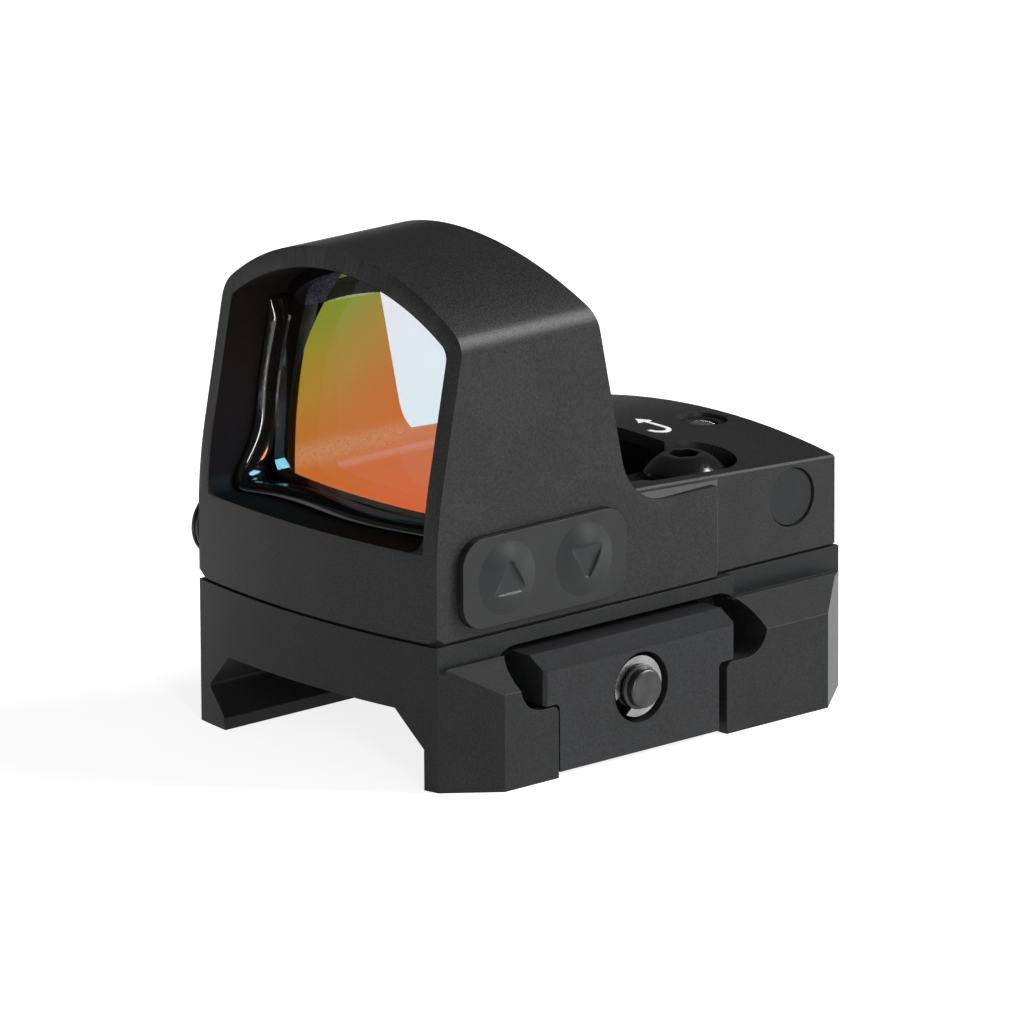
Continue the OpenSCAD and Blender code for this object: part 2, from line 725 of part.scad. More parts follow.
rail_base();
clamp_jaw();
cross_bolt();
bolt_washer();
retaining_clip();
locating_pins();
base_gasket();
housing();
bottom_cover();
mount_screws();
lens();
lens_seal();
keypad();
up_button();
down_button();
switch_domes();
switch_board();
main_board();
coin_cell();
battery_tray();
tray_gasket();
tray_screw();
battery_contact();
elevation_screw();
windage_screw();
adjuster_seals();
windage_slide();
emitter_carriage();
led_emitter();
emitter_window();
bore_plug();
direction_mark();
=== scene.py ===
"""Looks, lights and camera of the red dot finder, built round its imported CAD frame."""
import json
import math
import random

import bmesh
import bpy
from mathutils import Matrix, Vector


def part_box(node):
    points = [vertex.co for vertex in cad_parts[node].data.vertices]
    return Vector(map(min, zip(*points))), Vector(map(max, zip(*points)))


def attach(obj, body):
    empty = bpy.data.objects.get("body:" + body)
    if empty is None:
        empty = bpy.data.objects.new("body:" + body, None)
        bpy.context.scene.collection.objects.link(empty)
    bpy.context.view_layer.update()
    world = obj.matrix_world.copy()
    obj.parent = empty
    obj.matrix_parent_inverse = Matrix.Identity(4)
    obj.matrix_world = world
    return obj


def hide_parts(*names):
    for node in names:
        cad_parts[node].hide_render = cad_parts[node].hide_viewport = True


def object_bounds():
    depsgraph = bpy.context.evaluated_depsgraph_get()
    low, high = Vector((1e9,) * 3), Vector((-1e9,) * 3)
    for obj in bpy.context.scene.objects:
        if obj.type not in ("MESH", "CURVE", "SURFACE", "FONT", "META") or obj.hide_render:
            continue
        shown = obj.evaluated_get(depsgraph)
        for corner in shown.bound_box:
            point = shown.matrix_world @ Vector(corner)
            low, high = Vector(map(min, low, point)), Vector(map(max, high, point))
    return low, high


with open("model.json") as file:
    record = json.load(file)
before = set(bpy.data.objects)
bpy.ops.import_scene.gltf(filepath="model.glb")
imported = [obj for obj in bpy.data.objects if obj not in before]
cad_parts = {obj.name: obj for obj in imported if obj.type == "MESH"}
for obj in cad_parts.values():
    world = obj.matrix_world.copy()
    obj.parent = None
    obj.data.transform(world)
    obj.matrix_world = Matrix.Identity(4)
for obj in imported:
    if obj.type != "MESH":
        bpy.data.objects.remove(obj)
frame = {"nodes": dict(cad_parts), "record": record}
cad_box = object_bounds()
cad = frame["nodes"]
MM = 0.001

# Front and underside of the CAD box, in millimetres.
FRONT_Y = cad_box[0].y / MM
FOOT_Z = cad_box[0].z / MM

# Space inside the hood, in millimetres and a hair outside its walls: half its width, its floor, how far back
# its painted shade goes, and the radius of its arched roof with the height of the roof's centre.
HOOD_HALF_WIDTH, HOOD_FLOOR, HOOD_REAR = 10.87, 10.88, -11.0
ROOF_RADIUS, ROOF_CENTRE_Z = 18.34, 9.55

# Centre of the lens's curved faces, and a radius that lies between the two, in millimetres.
LENS_CENTRE_Y, LENS_CENTRE_Z, LENS_MIDDLE_RADIUS = 30.195, 9.976, 45.1

# Clear part of the glass, in millimetres: half its width, its foot, the height where its sides begin to lean
# in, how fast they do, and the radius of its corners. They were measured in the photograph and projected
# onto the glass.
CLEAR_HALF_WIDTH, CLEAR_FOOT, CLEAR_LEAN_Z, CLEAR_LEAN, CLEAR_CORNER = 8.55, 12.15, 15.0, 0.03, 1.0

# Painted light in the coating, in millimetres, measured in the same way and not part of the geometry: a
# painted highlight streak, a painted reflection of a disc, and a painted crown and haze that stand in for
# the lit inner wall seen through the glass. The streak and the edge of the crown are lines at a height on
# the middle plane, with a slope. The disc has a middle and a radius. The painted haze on the border lies
# above the crown's edge, up to its left end in x.
PAINTED_HIGHLIGHT_Z, PAINTED_HIGHLIGHT_SLOPE, PAINTED_HIGHLIGHT_HALF = 15.8, 0.35, 1.3
REFLECTED_DISC_X, REFLECTED_DISC_Z, REFLECTED_DISC_RADIUS = 5.1, 15.9, 2.5
LIT_WALL_Z, LIT_WALL_SLOPE, HAZE_LEFT_END = 25.7, 0.3, -2.0

# Colours that the coating gives back, from the upper left to the lower right of the glass. They were worked
# out from colours measured in the photograph and the brightness of front_card.
COATING_START, COATING_END = -22.2, -8.2
COATING = [
    (0.0, (0.318, 0.385, 0.043)), (0.17, (0.503, 0.334, 0.042)), (0.28, (0.576, 0.315, 0.048)),
    (0.385, (0.647, 0.262, 0.044)), (0.49, (0.731, 0.226, 0.045)), (0.67, (0.79, 0.207, 0.042)),
    (0.814, (0.82, 0.196, 0.050)), (1.0, (0.90, 0.186, 0.062)),
]

# Path of the sealant bead, in millimetres: the walls, the sill, the radius of its corners and its top ends.
BEAD_WALL, BEAD_SILL, BEAD_BEND, BEAD_TOP = 10.84, 10.92, 1.5, 23.6
BEAD_HALF = 1.6

# Button caps, in millimetres: the radius of the foot, how far the dome stands out, and the triangle in it.
CAP_FOOT, CAP_RISE, CAP_SKIRT, CAP_WELL = 2.78, 0.62, 0.25, 0.3
TRIANGLE_CORNERS, TRIANGLE_ROUND = [(1.06, -0.79), (0.0, 0.95), (-1.06, -0.79)], 0.26


def mm(*values):
    """A point or size in millimetres, as metres."""
    return Vector(values) * MM


# ------------------------------------------------------------------ node writing


class Surface:
    """A node material. Its methods add nodes, and most return the socket that holds their result."""

    def __init__(self, name, **constants):
        self.material = bpy.data.materials.new(name)
        self.material.use_nodes = True
        self.tree = self.material.node_tree
        self.tree.nodes.clear()
        self.out = self.tree.nodes.new("ShaderNodeOutputMaterial")
        self.coords = self.tree.nodes.new("ShaderNodeTexCoord").outputs["Object"]
        self.shader = None
        if constants:
            self.principled(**constants)

    def put(self, socket, value):
        if isinstance(value, bpy.types.NodeSocket):
            self.tree.links.new(value, socket)
        elif isinstance(value, (tuple, list)) and len(value) == 3 and socket.type == "RGBA":
            socket.default_value = (*value, 1.0)
        else:
            socket.default_value = value

    def node(self, kind, result, settings=None, **inputs):
        made = self.tree.nodes.new(kind)
        for key, value in (settings or {}).items():
            setattr(made, key, value)
        for key, value in inputs.items():
            self.put(made.inputs[key.replace("_", " ")], value)
        return made.outputs[result]

    def principled(self, **inputs):
        self.shader = self.tree.nodes.new("ShaderNodeBsdfPrincipled")
        for key, value in inputs.items():
            self.put(self.shader.inputs[key.replace("_", " ")], value)
        self.finish(self.shader.outputs[0])

    def finish(self, shader):
        self.tree.links.new(shader, self.out.inputs["Surface"])

    def set(self, name, value):
        self.put(self.shader.inputs[name], value)

    def math(self, operation, a, b=0.5, c=0.5):
        made = self.tree.nodes.new("ShaderNodeMath")
        made.operation = operation
        for socket, value in zip(made.inputs, (a, b, c)):
            self.put(socket, value)
        return made.outputs[0]

    def stretched(self, scale):
        return self.node("ShaderNodeMapping", "Vector", Vector=self.coords, Scale=scale)

    def noise(self, size, detail=3.0, roughness=0.55, vector=None):
        """Noise whose lumps are about size millimetres across."""
        return self.node("ShaderNodeTexNoise", "Fac", Vector=vector or self.coords,
                         Scale=1.0 / (size * MM), Detail=detail, Roughness=roughness)

    def cells(self, size):
        """Soft-edged cells about size millimetres across."""
        return self.node("ShaderNodeTexVoronoi", "Distance", {"feature": "SMOOTH_F1"},
                         Vector=self.coords, Scale=1.0 / (size * MM))

    def span(self, value, low, high, to_low=0.0, to_high=1.0, kind="SMOOTHSTEP"):
        made = self.tree.nodes.new("ShaderNodeMapRange")
        made.interpolation_type = kind
        for socket, item in zip(made.inputs, (value, low, high, to_low, to_high)):
            self.put(socket, item)
        return made.outputs[0]

    def ramp(self, value, stops):
        made = self.tree.nodes.new("ShaderNodeValToRGB")
        line = made.color_ramp
        while len(line.elements) < len(stops):
            line.elements.new(0.5)
        for element, (place, color) in zip(line.elements, stops):
            element.position = place
            element.color = (*color, 1.0)
        self.put(made.inputs[0], value)
        return made.outputs["Color"]

    def mix(self, factor, a, b, blend="MIX"):
        made = self.tree.nodes.new("ShaderNodeMix")
        made.data_type = "RGBA"
        made.blend_type = blend
        self.put(made.inputs[0], factor)
        self.put(made.inputs[6], a)
        self.put(made.inputs[7], b)
        return made.outputs[2]

    def bump(self, height, depth, strength=1.0, under=None):
        """Bump of a height that runs from 0 to 1 over depth millimetres."""
        made = self.tree.nodes.new("ShaderNodeBump")
        self.put(made.inputs["Height"], height)
        self.put(made.inputs["Distance"], depth * MM)
        self.put(made.inputs["Strength"], strength)
        if under is not None:
            self.put(made.inputs["Normal"], under)
        return made.outputs[0]

    def split(self):
        """The point's x, y and z, in millimetres."""
        made = self.tree.nodes.new("ShaderNodeSeparateXYZ")
        self.put(made.inputs[0], self.coords)
        return [self.math("DIVIDE", value, MM) for value in made.outputs]

    def length(self, *parts):
        """Length of the vector that has these parts."""
        squares = [self.math("MULTIPLY", part, part) for part in parts]
        total = squares[0]
        for square in squares[1:]:
            total = self.math("ADD", total, square)
        return self.math("SQRT", total)

    def above_line(self, x, z, height, slope):
        """How far a point is above a sloped line that crosses x = 0 at a height."""
        return self.math("SUBTRACT", self.math("SUBTRACT", z, self.math("MULTIPLY", x, slope)), height)

    def mix_shaders(self, factor, first, second):
        made = self.tree.nodes.new("ShaderNodeMixShader")
        for socket, value in zip(made.inputs, (factor, first, second)):
            self.put(socket, value)
        return made.outputs[0]


# --------------------------------------------------------------------- materials


def blasted(name, base, rough, grain=0.12, depth=0.008, specular=0.2, contrast=0.3, painted_hood_shade=False):
    """Bead-blasted and anodised alloy: fine grain, tiny bright points and slow shifts of tone.
    When asked, the inside of the hood gets painted shade: a far darker tone and a rougher surface."""
    s = Surface(name)
    fine = s.noise(grain, 2, 0.6)
    slow = s.noise(4.5, 3, 0.5)
    low = tuple(c * (1 - contrast) for c in base)
    high = tuple(c * (1 + contrast) for c in base)
    tone = s.mix(s.span(fine, 0.33, 0.67, kind="LINEAR"), low, high)
    tone = s.mix(0.5, tone, s.mix(s.span(slow, 0.3, 0.7), (0.42, 0.42, 0.42), (0.58, 0.58, 0.58)), "OVERLAY")
    points = s.span(s.noise(grain * 0.7, 1, 0.5), 0.72, 0.8)
    tone = s.mix(s.math("MULTIPLY", points, 0.5), tone, tuple(c * 4 for c in base))
    gloss = s.span(fine, 0.25, 0.75, rough - 0.06, rough + 0.08)
    # painted shade: inside the hood the tone is made far darker and the surface rougher
    if painted_hood_shade:
        x, y, z = s.split()
        inside = s.math("LESS_THAN", s.length(x, s.math("SUBTRACT", z, ROOF_CENTRE_Z)), ROOF_RADIUS)
        for limit in (s.math("LESS_THAN", s.math("ABSOLUTE", x), HOOD_HALF_WIDTH),
                      s.math("GREATER_THAN", z, HOOD_FLOOR), s.math("LESS_THAN", y, HOOD_REAR)):
            inside = s.math("MULTIPLY", inside, limit)
        tone = s.mix(inside, tone, (0.0032, 0.0022, 0.0021))
        gloss = s.math("ADD", gloss, s.math("MULTIPLY", inside, 0.3))
    s.principled(Base_Color=tone, Metallic=0.0, Specular_IOR_Level=specular, Roughness=gloss)
    s.set("Normal", s.bump(fine, depth, 0.9, s.bump(slow, 0.02, 0.5)))
    return s.material


def machined(name, dark, light, rough, metallic=1.0, lines=0.06, stretch=(1, 9, 9)):
    """Turned or milled metal. Its fine marks are drawn out along the stretched directions."""
    s = Surface(name)
    marks = s.noise(lines, 3, 0.6, s.stretched(tuple(1.0 / factor for factor in stretch)))
    slow = s.noise(1.6, 3, 0.5)
    s.principled(Base_Color=s.mix(s.span(slow, 0.3, 0.7), dark, light), Metallic=metallic)
    s.set("Roughness", s.span(marks, 0.3, 0.7, rough - 0.06, rough + 0.1))
    s.set("Normal", s.bump(marks, 0.006, 0.7))
    return s.material


def rubber(name, dark, light, rough):
    s = Surface(name)
    fine = s.noise(0.09, 3, 0.6)
    slow = s.noise(2.2, 3, 0.5)
    s.principled(Base_Color=s.mix(s.span(slow, 0.3, 0.7), dark, light), Specular_IOR_Level=0.22)
    s.set("Roughness", s.span(fine, 0.3, 0.7, rough - 0.05, rough + 0.08))
    s.set("Normal", s.bump(fine, 0.008, 0.7))
    return s.material


def moulded(name, dark, light, rough):
    s = Surface(name)
    pits = s.cells(0.2)
    slow = s.noise(3.0, 3, 0.5)
    s.principled(Base_Color=s.mix(s.span(slow, 0.3, 0.7), dark, light), Specular_IOR_Level=0.4)
    s.set("Roughness", s.span(pits, 0.1, 0.7, rough - 0.05, rough + 0.08))
    s.set("Normal", s.bump(pits, 0.01, 0.8))
    return s.material


def coating_color(s, x, z, grit, lit_wall_mask):
    """Colour that the coating gives back, with a painted highlight streak, a painted reflected disc and a
    painted lit crown over it.
    """
    across = s.math("ADD", s.math("MULTIPLY", x, 0.6), s.math("MULTIPLY", z, -0.8))
    drift = s.math("MULTIPLY", s.math("SUBTRACT", s.noise(7.0, 2, 0.4), 0.5), 2.4)
    place = s.span(s.math("ADD", across, drift), COATING_START, COATING_END, kind="LINEAR")
    color = s.ramp(place, COATING)
    # painted highlight: a pale grainy streak across the coating, standing in for a lit band behind the glass
    offset = s.math("ABSOLUTE", s.above_line(x, z, PAINTED_HIGHLIGHT_Z, PAINTED_HIGHLIGHT_SLOPE))
    painted_streak = s.math("MULTIPLY", s.span(offset, PAINTED_HIGHLIGHT_HALF, 0.1), s.span(grit, 0.3, 0.7, 0.1, 0.36))
    color = s.mix(painted_streak, color, (0.86, 0.62, 0.4))
    # painted reflection: a reddish disc, standing in for a screw head seen through the glass
    painted_disc = s.length(s.math("SUBTRACT", x, REFLECTED_DISC_X), s.math("SUBTRACT", z, REFLECTED_DISC_Z))
    painted_disc = s.span(painted_disc, REFLECTED_DISC_RADIUS, REFLECTED_DISC_RADIUS - 0.15, 0.0, 0.4, "LINEAR")
    color = s.mix(painted_disc, color, (0.80, 0.25, 0.12))
    # painted light: a pale grainy crown, standing in for the lit inner wall seen through the glass
    painted_lit_wall = s.mix(s.span(grit, 0.3, 0.7), (0.33, 0.42, 0.14), (0.66, 0.72, 0.42))
    return s.mix(s.math("MULTIPLY", lit_wall_mask, 0.75), color, painted_lit_wall)


def coating_film(s, x, returned):
    """Gives back the coating's colour and lets the rest through. The reflection has a normal of its own,
    not the CAD surface's, which turns it towards front_card."""
    passed = s.node("ShaderNodeInvert", "Color", Color=returned)
    passed = s.mix(1.0, passed, (0.62, 0.6, 0.62), "MULTIPLY")
    hollow = s.node("ShaderNodeCombineXYZ", "Vector", X=s.math("MULTIPLY", x, -0.027), Y=-1.0, Z=0.32)
    facing = s.node("ShaderNodeVectorTransform", "Vector",
                    {"vector_type": "NORMAL", "convert_from": "OBJECT", "convert_to": "WORLD"},
                    Vector=hollow)
    gloss = s.node("ShaderNodeBsdfGlossy", "BSDF", Color=returned, Roughness=0.04, Normal=facing)
    film = s.tree.nodes.new("ShaderNodeAddShader")
    s.put(film.inputs[0], gloss)
    s.put(film.inputs[1], s.node("ShaderNodeBsdfTransparent", "BSDF", Color=passed))
    return film.outputs[0]


def glass_border(s, x, grit, lit_wall_mask):
    """The black backing outside the clear part, with a painted haze of lit inner wall at the upper left."""
    black = s.mix(s.noise(1.0), (0.003, 0.005, 0.003), (0.006, 0.009, 0.005))
    # painted light: a pale purple haze at the upper left, standing in for the lit inner wall seen through
    # the glass
    painted_haze = s.mix(s.span(grit, 0.3, 0.7), (0.03, 0.026, 0.045), (0.13, 0.12, 0.17))
    left = s.math("MULTIPLY", lit_wall_mask, s.math("LESS_THAN", x, HAZE_LEFT_END))
    border = s.tree.nodes.new("ShaderNodeBsdfPrincipled")
    s.put(border.inputs["Base Color"], s.mix(s.math("MULTIPLY", left, 0.8), black, painted_haze))
    s.put(border.inputs["Roughness"], 0.12)
    s.put(border.inputs["Specular IOR Level"], 0.2)
    return border.outputs[0]


def outside_clear(s, x, z):
    """How far a point is outside the clear part, less the radius of its corners."""
    over = s.math("MAXIMUM", s.math("SUBTRACT", z, CLEAR_LEAN_Z), 0.0)
    lean = s.math("MULTIPLY", s.math("POWER", over, 2.0), CLEAR_LEAN)
    side = s.math("SUBTRACT", s.math("ADD", s.math("ABSOLUTE", x), lean), CLEAR_HALF_WIDTH)
    foot = s.math("SUBTRACT", CLEAR_FOOT, z)
    return s.length(s.math("MAXIMUM", side, 0.0), s.math("MAXIMUM", foot, 0.0))


def coated_glass():
    """The lens: a coated front face, a plain rear face and a black border."""
    s = Surface("coated_glass")
    x, y, z = s.split()
    grit = s.noise(0.16, 2, 0.6)
    # mask of the painted lit crown and haze, above a sloped line
    lit_wall_mask = s.span(s.above_line(x, z, LIT_WALL_Z, LIT_WALL_SLOPE), -0.04, 0.04, kind="LINEAR")
    film = coating_film(s, x, coating_color(s, x, z, grit, lit_wall_mask))
    clear = s.node("ShaderNodeBsdfTransparent", "BSDF", Color=(0.99, 0.99, 0.99))
    radius = s.length(x, s.math("SUBTRACT", y, LENS_CENTRE_Y), s.math("SUBTRACT", z, LENS_CENTRE_Z))
    glass = s.mix_shaders(s.math("GREATER_THAN", radius, LENS_MIDDLE_RADIUS), clear, film)
    inside = s.span(outside_clear(s, x, z), CLEAR_CORNER + 0.02, CLEAR_CORNER - 0.02, kind="LINEAR")
    s.finish(s.mix_shaders(inside, glass_border(s, x, grit, lit_wall_mask), glass))
    return s.material


def clear_plastic():
    s = Surface("clear_plastic")
    s.principled(Base_Color=s.mix(s.noise(0.8), (0.004, 0.005, 0.007), (0.008, 0.009, 0.012)),
                 Roughness=0.12, IOR=1.49, Transmission_Weight=0.2, Specular_IOR_Level=0.25)
    s.set("Normal", s.bump(s.noise(0.7), 0.004, 0.4))
    return s.material


def sealant():
    s = Surface("sealant")
    lumps = s.noise(1.1, 3, 0.5)
    s.principled(Base_Color=s.mix(s.noise(2.0), (0.0035, 0.003, 0.003), (0.008, 0.006, 0.0055)),
                 Specular_IOR_Level=0.5, Coat_Weight=0.5, Coat_Roughness=0.05)
    s.set("Roughness", s.span(lumps, 0.3, 0.7, 0.08, 0.16))
    s.set("Normal", s.bump(lumps, 0.03, 0.6))
    return s.material


def circuit_board():
    s = Surface("board")
    lines = s.node("ShaderNodeTexBrick", "Fac", Vector=s.coords, Scale=900.0)
    s.principled(Base_Color=s.mix(lines, (0.014, 0.09, 0.035), (0.02, 0.14, 0.05)),
                 Roughness=0.3, Specular_IOR_Level=0.5)
    s.set("Normal", s.bump(lines, 0.03, 0.6))
    return s.material


def paint(name, dark, light):
    s = Surface(name)
    specks = s.noise(0.1, 3, 0.6)
    s.principled(Base_Color=s.mix(s.span(specks, 0.35, 0.6), dark, light), Roughness=0.6)
    s.set("Normal", s.bump(specks, 0.01, 0.7))
    return s.material


looks = {
    # the body's material has painted shade inside the hood
    "anodised_body": blasted("anodised_body", (0.0145, 0.0142, 0.0142), 0.4, specular=0.15,
                             contrast=0.42, painted_hood_shade=True),
    "anodised_base": blasted("anodised_base", (0.0115, 0.0119, 0.0126), 0.4, 0.1, 0.007, 0.13, 0.38),
    "anodised_clamp": blasted("anodised_clamp", (0.0135, 0.0139, 0.0148), 0.4, 0.1, 0.008, 0.14, 0.4),
    "black_steel": machined("black_steel", (0.03, 0.03, 0.031), (0.055, 0.055, 0.056), 0.36, 0.85),
    "button_head_steel": machined("button_head_steel", (0.003, 0.003, 0.0033), (0.005, 0.005, 0.0055),
                                  0.14, 0.0, 0.1, (1, 1, 1)),
    "spring_steel": machined("spring_steel", (0.2, 0.2, 0.205), (0.3, 0.3, 0.305), 0.2),
    "bright_steel": machined("bright_steel", (0.48, 0.48, 0.49), (0.6, 0.6, 0.61), 0.28),
    "nickel": machined("nickel", (0.58, 0.56, 0.52), (0.72, 0.7, 0.66), 0.18),
    "coated_glass": coated_glass(),
    "clear_plastic": clear_plastic(),
    "sealant": sealant(),
    "pad_rubber": rubber("pad_rubber", (0.011, 0.0113, 0.012), (0.0138, 0.0142, 0.015), 0.42),
    "button_rubber": rubber("button_rubber", (0.011, 0.0115, 0.0122), (0.0138, 0.0144, 0.0152), 0.38),
    "gasket_rubber": rubber("gasket_rubber", (0.004, 0.004, 0.004), (0.007, 0.007, 0.007), 0.6),
    "black_plastic": moulded("black_plastic", (0.009, 0.009, 0.01), (0.012, 0.012, 0.013), 0.42),
    "board": circuit_board(),
    "dome_steel": machined("dome_steel", (0.5, 0.48, 0.42), (0.6, 0.57, 0.5), 0.2),
    "cell_steel": machined("cell_steel", (0.5, 0.5, 0.5), (0.62, 0.62, 0.62), 0.22),
    "gilt": machined("gilt", (0.55, 0.4, 0.14), (0.66, 0.48, 0.18), 0.25),
    "slide_alloy": machined("slide_alloy", (0.28, 0.29, 0.3), (0.36, 0.37, 0.38), 0.34),
    "led_body": moulded("led_body", (0.7, 0.66, 0.52), (0.8, 0.77, 0.64), 0.2),
    "plug_metal": blasted("plug_metal", (0.010, 0.0106, 0.0112), 0.32, 0.2, 0.004, 0.16, 0.12),
    "mark_paint": paint("mark_paint", (0.6, 0.6, 0.58), (0.85, 0.85, 0.83)),
}

for row in frame["record"]["subparts"]:
    mesh = cad[row["node"]].data
    mesh.materials.clear()
    mesh.materials.append(looks[row["material_slot"]])


# ------------------------------------------------------------ eased edges on the CAD


def ease_edges(node, width, segments):
    """Joins the faces of a CAD node, clears flat joints between them and rounds its sharp edges.
    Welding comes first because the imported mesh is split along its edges."""
    piece = cad[node]
    weld = piece.modifiers.new("weld", "WELD")
    weld.merge_threshold = 0.000002
    flat = piece.modifiers.new("flat", "DECIMATE")
    flat.decimate_type = "DISSOLVE"
    flat.angle_limit = math.radians(0.3)
    ease = piece.modifiers.new("ease", "BEVEL")
    ease.width = width * MM
    ease.segments = segments
    ease.limit_method = "ANGLE"
    ease.angle_limit = math.radians(28)
    ease.miter_outer = "MITER_ARC"
    even = piece.modifiers.new("even", "WEIGHTED_NORMAL")
    even.mode = "FACE_AREA"
    even.weight = 100


for node, width, segments in (("housing", 0.16, 2), ("rail_base", 0.16, 2), ("clamp_jaw", 0.14, 2),
                              ("keypad", 0.3, 4), ("battery_tray", 0.15, 2), ("cross_bolt", 0.1, 2),
                              ("tray_screw", 0.05, 1), ("elevation_screw", 0.12, 3),
                              ("windage_screw", 0.12, 3), ("mount_screws", 0.08, 2),
                              ("bore_plug", 0.15, 2), ("bolt_washer", 0.08, 2)):
    ease_edges(node, width, segments)


# ------------------------------------------------------------------ modelled pieces


def new_piece(name, bm, slot, body, *stands_for):
    """Turns a bmesh into a smooth-shaded piece that rides on a body."""
    bmesh.ops.recalc_face_normals(bm, faces=bm.faces)
    mesh = bpy.data.meshes.new(name)
    bm.to_mesh(mesh)
    bm.free()
    mesh.shade_smooth()
    piece = bpy.data.objects.new(name, mesh)
    bpy.context.scene.collection.objects.link(piece)
    mesh.materials.append(looks[slot])
    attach(piece, body)
    if stands_for:
        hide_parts(*stands_for)


def skin(rings):
    """A mesh with faces between rings of points, and with its first and last ring closed off."""
    bm = bmesh.new()
    rows = [[bm.verts.new(p) for p in ring] for ring in rings]
    for a, b in zip(rows, rows[1:]):
        for i in range(len(a)):
            j = (i + 1) % len(a)
            bm.faces.new((a[i], a[j], b[j], b[i]))
    bm.faces.new(rows[0])
    bm.faces.new(list(reversed(rows[-1])))
    return bm


def bead_path():
    """Down the left wall, along the sill and up the right wall: x, z and the direction into the wall."""
    wall, sill, bend = BEAD_WALL, BEAD_SILL, BEAD_BEND
    rise = BEAD_TOP - sill - bend
    turn = [(math.cos(math.pi / 2 * i / 12), math.sin(math.pi / 2 * i / 12)) for i in range(12)]
    path = [(-wall, BEAD_TOP - rise * i / 40, -1.0, 0.0) for i in range(40)]
    path += [(-wall + bend * (1 - c), sill + bend * (1 - s), -c, -s) for c, s in turn]
    path += [(-wall + bend + 2 * (wall - bend) * i / 60, sill, 0.0, -1.0) for i in range(60)]
    path += [(wall - bend + bend * s, sill + bend * (1 - c), s, -c) for c, s in turn]
    path += [(wall, sill + bend + rise * i / 40, 1.0, 0.0) for i in range(41)]
    return path


def bead_ring(x, z, out_x, out_z, crest_y, proud):
    """One cross-section of the bead: a dome towards the opening, and a strip just inside the wall."""
    def point(across, rise):
        across *= 0.8 if across < 0 else 1.0
        return mm(x - out_x * rise, crest_y + across, z - out_z * rise)

    arcs = [math.pi * k / 13 for k in range(14)]
    dome = [point(-math.cos(a) * BEAD_HALF, proud * abs(math.sin(a)) ** 0.8) for a in arcs]
    return dome + [point(BEAD_HALF * (1 - 2 * k / 6.0), -0.12) for k in range(1, 6)]


def seal_bead():
    """The glossy ridge of sealant round the glass, laid by hand and so a little uneven."""
    draw = random.Random(7)
    waves = [(draw.uniform(0.3, 1.6), draw.uniform(0, 6.28), draw.uniform(0.02, 0.06)) for _ in range(6)]

    def wobble(t):
        return sum(size * math.sin(rate * t + phase) for rate, phase, size in waves)

    path = bead_path()
    rings = []
    for n, (x, z, out_x, out_z) in enumerate(path):
        t = n * 0.25
        # the crest leans back with the glass, and bows forward in the middle
        crest_y = FRONT_Y + 4.25 + 0.18 * (z - FOOT_Z - 16.3) + x * x / 88 + wobble(t) * 1.2
        # it runs forward where it turns the left corner, as in the photograph
        corner = (x + BEAD_WALL) ** 2 + (z - BEAD_SILL) ** 2
        crest_y -= 1.5 * math.exp(-corner / 7.0)
        # it thins out over its last few rings
        ends = min(1.0, n / 5.0, (len(path) - 1 - n) / 5.0)
        proud = (0.72 + wobble(t + 9) * 0.8) * (0.25 + 0.75 * ends)
        rings.append(bead_ring(x, z, out_x, out_z, crest_y, proud))
    new_piece("seal_bead", skin(rings), "sealant", "sight")


def in_triangle(y, z):
    """True in the sunk triangle, which reaches its rounding radius beyond its corner points."""
    inside = True
    for (ay, az), (by, bz) in zip(TRIANGLE_CORNERS, TRIANGLE_CORNERS[1:] + TRIANGLE_CORNERS[:1]):
        ly, lz = by - ay, bz - az
        along = min(max(((y - ay) * ly + (z - az) * lz) / (ly * ly + lz * lz), 0.0), 1.0)
        if math.hypot(y - ay - along * ly, z - az - along * lz) <= TRIANGLE_ROUND:
            return True
        if (y - ay) * lz - (z - az) * ly > 0:
            inside = False
    return inside


def rounded_triangle(count, direction):
    """Outline of the sunk triangle at even angles from the +Y side, in millimetres."""
    reaches = [0.4 + step * 0.015 for step in range(90)]
    outline = []
    for n in range(count):
        # a triangle that points down is the mirror image of one that points up
        a = 2 * math.pi * (n if direction > 0 else (-n) % count) / count
        reach = max(r for r in reaches if in_triangle(math.cos(a) * r, math.sin(a) * r))
        outline.append((math.cos(a) * reach, math.sin(a) * reach * direction))
    return outline


def button_cap(name, node, body, direction):
    """A domed rubber cap that flows into the keypad, with a triangle sunk in it."""
    low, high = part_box(node)
    middle_y, middle_z = (low.y + high.y) / 2 / MM, (low.z + high.z) / 2 / MM
    top = high.x / MM
    face = top - CAP_RISE
    count = 96
    outline = rounded_triangle(count, direction)
    angles = [2 * math.pi * n / count for n in range(count)]
    foot = [(math.cos(a) * CAP_FOOT, math.sin(a) * CAP_FOOT) for a in angles]

    def dome(y, z, sunk=0.0):
        t = min(math.hypot(y, z) / CAP_FOOT, 1.0)
        return face + 0.012 + (CAP_RISE - 0.012) * (1 - t * t) ** 1.45 - sunk, y, z

    # the triangle's floor, its rounded wall, the dome down to the foot, and the skirt behind it
    well = top - CAP_WELL
    rings = [[(well, y * scale, z * scale) for y, z in outline] for scale in (0.25, 0.6, 0.9)]
    rings.append([(well + 0.03, y * 0.965, z * 0.965) for y, z in outline])
    rings.append([dome(y, z, 0.03) for y, z in outline])
    for t in (0.03, 0.1, 0.2, 0.32, 0.45, 0.58, 0.7, 0.8, 0.88, 0.94, 1.0):
        rings.append([dome(y + (fy - y) * t, z + (fz - z) * t) for (y, z), (fy, fz) in zip(outline, foot)])
    rings.append([(face - CAP_SKIRT, y, z) for y, z in foot])
    rings = [[mm(x, middle_y + y, middle_z + z) for x, y, z in ring] for ring in rings]
    new_piece(name, skin(rings), "button_rubber", body, node)


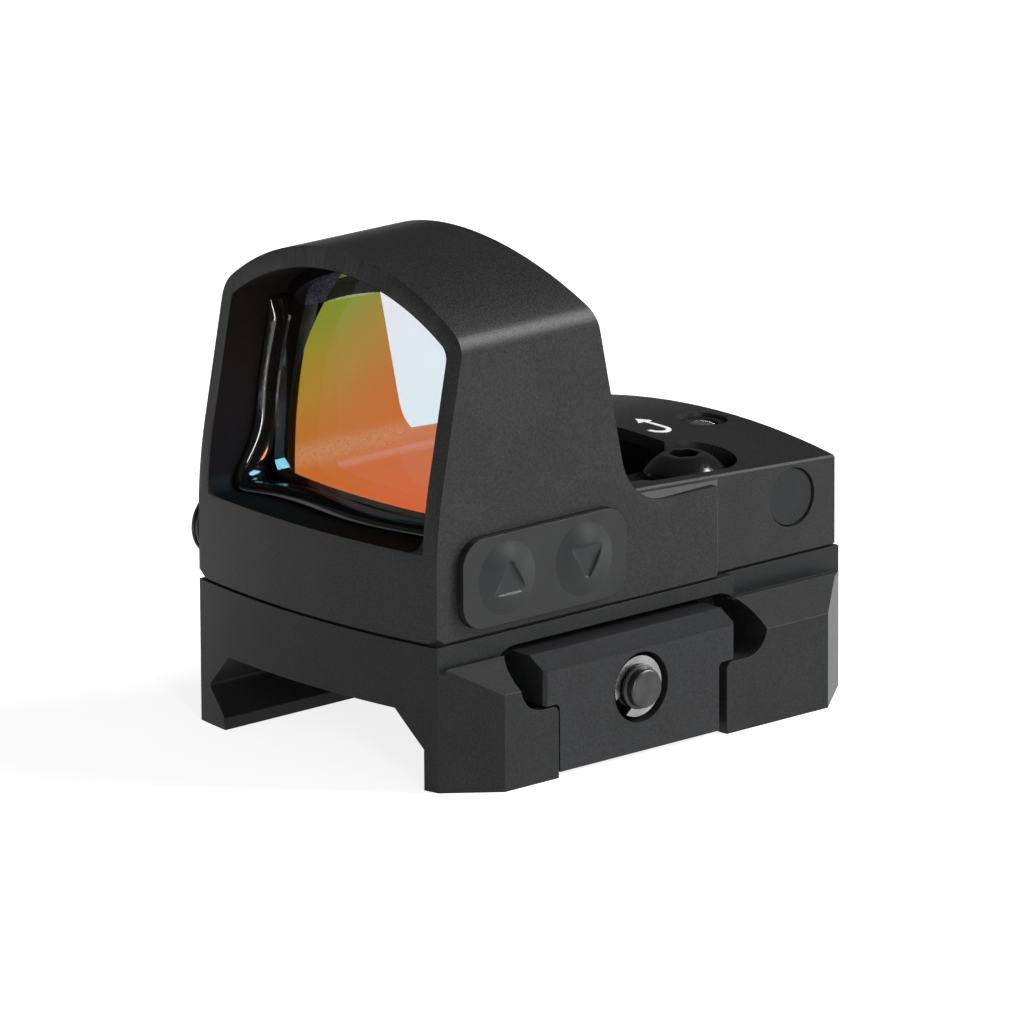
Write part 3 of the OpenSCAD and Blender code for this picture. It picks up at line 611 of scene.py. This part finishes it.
seal_bead()
button_cap("up_cap", "up_button", "brighter", 1)
button_cap("down_cap", "down_button", "dimmer", -1)


# --------------------------------------------------------------- floor and lights


def floor():
    """Pale paper at the height of the object's underside, six metres to each side."""
    size = 6.0
    mesh = bpy.data.meshes.new("floor")
    z = cad_box[0].z
    mesh.from_pydata([(-size, -size, z), (size, -size, z), (size, size, z), (-size, size, z)],
                     [], [(0, 1, 2, 3)])
    ground = bpy.data.objects.new("floor", mesh)
    bpy.context.scene.collection.objects.link(ground)
    s = Surface("floor_paper", Roughness=0.85, Specular_IOR_Level=0.1)
    pale = s.mix(s.noise(40.0), (0.5, 0.5, 0.5), (0.52, 0.52, 0.52))
    s.set("Base Color", pale)
    s.set("Emission Color", (1.0, 1.0, 1.0))
    s.set("Emission Strength", 0.84)
    mesh.materials.append(s.material)


def softbox(name, place, aim, size, power):
    light = bpy.data.lights.new(name, "AREA")
    light.shape = "RECTANGLE"
    light.size, light.size_y = size
    light.energy = power
    lamp = bpy.data.objects.new(name, light)
    bpy.context.scene.collection.objects.link(lamp)
    lamp.location = place
    lamp.rotation_euler = (aim - place).to_track_quat("-Z", "Y").to_euler()


def toward(azimuth, elevation, distance):
    """A point that far from the origin: azimuth 0 is in front, 90 on the keypad side."""
    a, e = math.radians(azimuth), math.radians(elevation)
    return Vector((math.sin(a) * math.cos(e), -math.cos(a) * math.cos(e), math.sin(e))) * distance


def studio():
    scene = bpy.context.scene
    scene.view_settings.view_transform = "Standard"
    world = bpy.data.worlds.new("studio")
    scene.world = world
    world.use_nodes = True
    sky = world.node_tree.nodes["Background"]
    sky.inputs["Color"].default_value = (1.0, 1.0, 1.0, 1.0)
    sky.inputs["Strength"].default_value = 0.09
    centre = mm(0, -2, 10)
    # white card that the lens looks into
    softbox("front_card", toward(-42, 12, 0.9), centre, (1.1, 0.5), 1.02)
    # key light behind and to the right, which draws the line along the hood's shoulder
    softbox("key_light", toward(142, 35, 0.7), centre, (0.3, 0.42), 9.2)
    # tall strip in front and to the right, for the line in the sealant
    softbox("strip_light", toward(64, 10, 0.9), centre, (0.1, 0.5), 3.6)
    # soft fill from the keypad side
    softbox("side_light", toward(100, 25, 0.8), centre, (0.6, 0.5), 0.7)


def camera():
    """The viewing angle of the photograph: azimuth, elevation and a small roll, in degrees."""
    azimuth, elevation, roll = 48.0226, 15.1633, math.radians(-0.3272)
    distance = 0.80185
    aim = mm(6.0821, -8.6502, 10.6549)
    back = toward(azimuth, elevation, 1.0)
    right = Vector((math.cos(math.radians(azimuth)), math.sin(math.radians(azimuth)), 0))
    up = back.cross(right)
    turned_right = right * math.cos(roll) + up * math.sin(roll)
    turned_up = up * math.cos(roll) - right * math.sin(roll)
    data = bpy.data.cameras.new("camera")
    data.lens = 421.45
    data.sensor_width = 36
    data.clip_start, data.clip_end = 0.05, 30
    eye = bpy.data.objects.new("camera", data)
    bpy.context.scene.collection.objects.link(eye)
    turn = Matrix((turned_right, turned_up, back)).transposed()
    eye.matrix_world = Matrix.Translation(aim + back * distance) @ turn.to_4x4()
    bpy.context.scene.camera = eye


floor()
studio()
camera()
